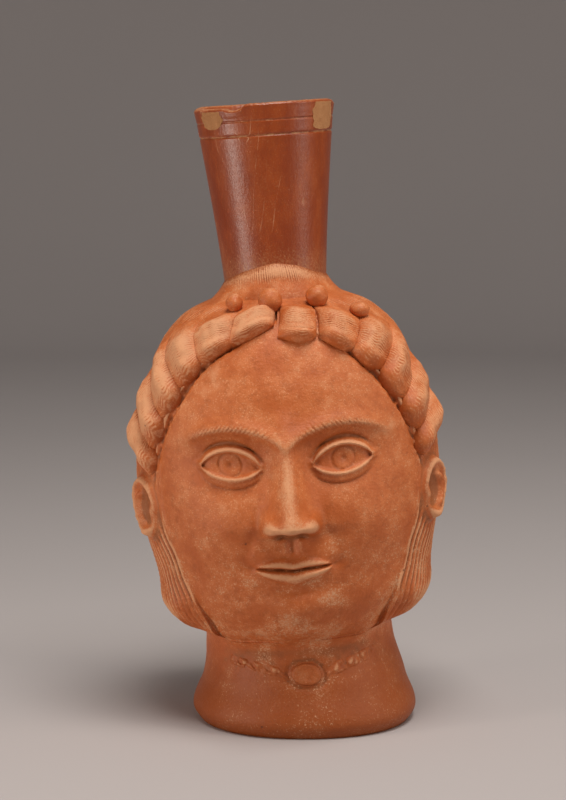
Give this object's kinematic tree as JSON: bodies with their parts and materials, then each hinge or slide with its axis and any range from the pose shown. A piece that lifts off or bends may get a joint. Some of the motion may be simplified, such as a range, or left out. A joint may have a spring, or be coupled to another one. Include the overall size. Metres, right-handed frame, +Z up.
{
  "type": "head vase",
  "caption": "Hollow terracotta vase in the form of a woman's head with rolled hair, standing on a flat round foot and filled and poured through a tall flaring neck",
  "frame": {"origin": "centre of the foot on the surface it stands on", "axes": "+Z up along the height, the face looks along -Y, +X to the viewer's right"},
  "size_m": [0.1301, 0.1331, 0.2546],
  "materials": {
    "red_slip_clay": "satin",
    "buff_clay": "matte",
    "fill_paste": "matte"
  },
  "bodies": {
    "root": {"face_half": "red_slip_clay", "back_half": "red_slip_clay", "thrown_neck": "red_slip_clay", "neck_collar": "red_slip_clay", "pendant": "red_slip_clay", "necklace_left": "red_slip_clay", "necklace_right": "red_slip_clay", "hair_lock_left_1": "red_slip_clay", "hair_lock_left_2": "red_slip_clay", "hair_lock_left_3": "red_slip_clay", "hair_lock_left_4": "red_slip_clay", "hair_lock_left_5": "red_slip_clay", "hair_lock_left_6": "red_slip_clay", "hair_lock_right_1": "red_slip_clay", "hair_lock_right_2": "red_slip_clay", "hair_lock_right_3": "red_slip_clay", "hair_lock_right_4": "red_slip_clay", "hair_lock_right_5": "red_slip_clay", "hair_lock_right_6": "red_slip_clay", "berry_1": "red_slip_clay", "berry_2": "red_slip_clay", "berry_3": "red_slip_clay", "berry_4": "red_slip_clay", "foot_slab": "buff_clay", "foot_coil": "buff_clay", "seam_coil_left": "buff_clay", "seam_coil_right": "buff_clay", "rim_fill_left": "fill_paste", "rim_fill_right": "fill_paste"}
  },
  "joints": []
}
